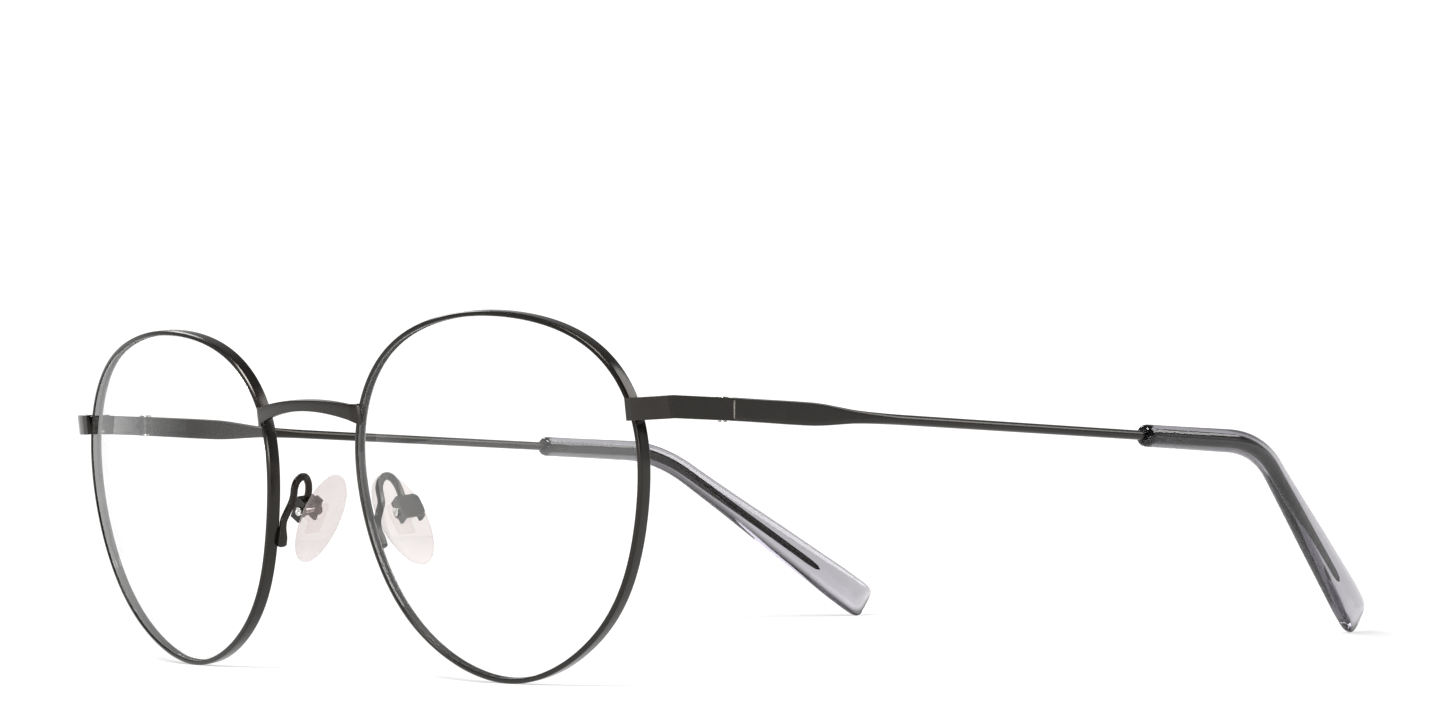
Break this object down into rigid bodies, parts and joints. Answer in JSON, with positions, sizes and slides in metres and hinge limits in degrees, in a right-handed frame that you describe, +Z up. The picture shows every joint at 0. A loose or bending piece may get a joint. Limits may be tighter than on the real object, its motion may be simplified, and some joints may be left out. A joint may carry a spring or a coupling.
{
  "type": "round wire eyeglasses",
  "caption": "Round full-rim wire eyeglasses with a flat bar bridge, rocking nose pads on wire arms and folding wire temples with clear sleeved tips.",
  "frame": {"origin": "on the surface the open glasses stand on, midway between the front of the bridge and the ends of the temple tips, in the plane of symmetry", "axes": "+Z up, -Y the way the wearer looks, +X the wearer's left; temples open"},
  "size_m": [0.1292, 0.1542, 0.046],
  "materials": {
    "frame_black": "satin black",
    "hinge_metal": "satin dark grey",
    "arm_metal": "satin gunmetal",
    "screw_steel": "polished",
    "lens_clear": "clear, coated",
    "tip_smoke": "transparent smoky grey",
    "pad_silicone": "translucent silicone",
    "insert_clear": "clear"
  },
  "bodies": {
    "front": {"rim_left": "frame_black", "rim_right": "frame_black", "lens_left": "lens_clear", "lens_right": "lens_clear", "bridge": "frame_black", "end_piece_left": "frame_black", "end_piece_right": "frame_black", "rim_lock_upper_left": "frame_black", "rim_lock_upper_right": "frame_black", "rim_lock_lower_left": "frame_black", "rim_lock_lower_right": "frame_black", "rim_lock_screw_left": "screw_steel", "rim_lock_screw_right": "screw_steel", "front_hinge_leaf_left": "hinge_metal", "front_hinge_leaf_right": "hinge_metal", "hinge_screw_left": "screw_steel", "hinge_screw_right": "screw_steel", "pad_arm_left": "arm_metal", "pad_arm_right": "arm_metal", "pad_box_left": "arm_metal", "pad_box_right": "arm_metal", "pad_screw_left": "screw_steel", "pad_screw_right": "screw_steel"},
    "temple_left": {"temple_left": "frame_black", "temple_hinge_leaf_left": "hinge_metal", "temple_tip_left": "tip_smoke"},
    "temple_right": {"temple_right": "frame_black", "temple_hinge_leaf_right": "hinge_metal", "temple_tip_right": "tip_smoke"},
    "nose_pad_left": {"nose_pad_left": "pad_silicone", "pad_insert_left": "insert_clear"},
    "nose_pad_right": {"nose_pad_right": "pad_silicone", "pad_insert_right": "insert_clear"}
  },
  "joints": [
    {"name": "temple_left_fold", "type": "hinge", "parent": "front", "child": "temple_left", "pos_m": [0.06235, -0.05953, 0.03321], "axis": [0, 0, 1], "range_deg": [0, 90]},
    {"name": "temple_right_fold", "type": "hinge", "parent": "front", "child": "temple_right", "pos_m": [-0.06235, -0.05953, 0.03321], "axis": [0, 0, -1], "range_deg": [0, 86]},
    {"name": "nose_pad_left_rock", "type": "hinge", "parent": "front", "child": "nose_pad_left", "pos_m": [0.01086, -0.06736, 0.0213], "axis": [0.0872, 0.9902, 0.1093], "range_deg": [-10, 10]},
    {"name": "nose_pad_right_rock", "type": "hinge", "parent": "front", "child": "nose_pad_right", "pos_m": [-0.01086, -0.06736, 0.0213], "axis": [0.0872, -0.9902, -0.1093], "range_deg": [-10, 10]}
  ]
}
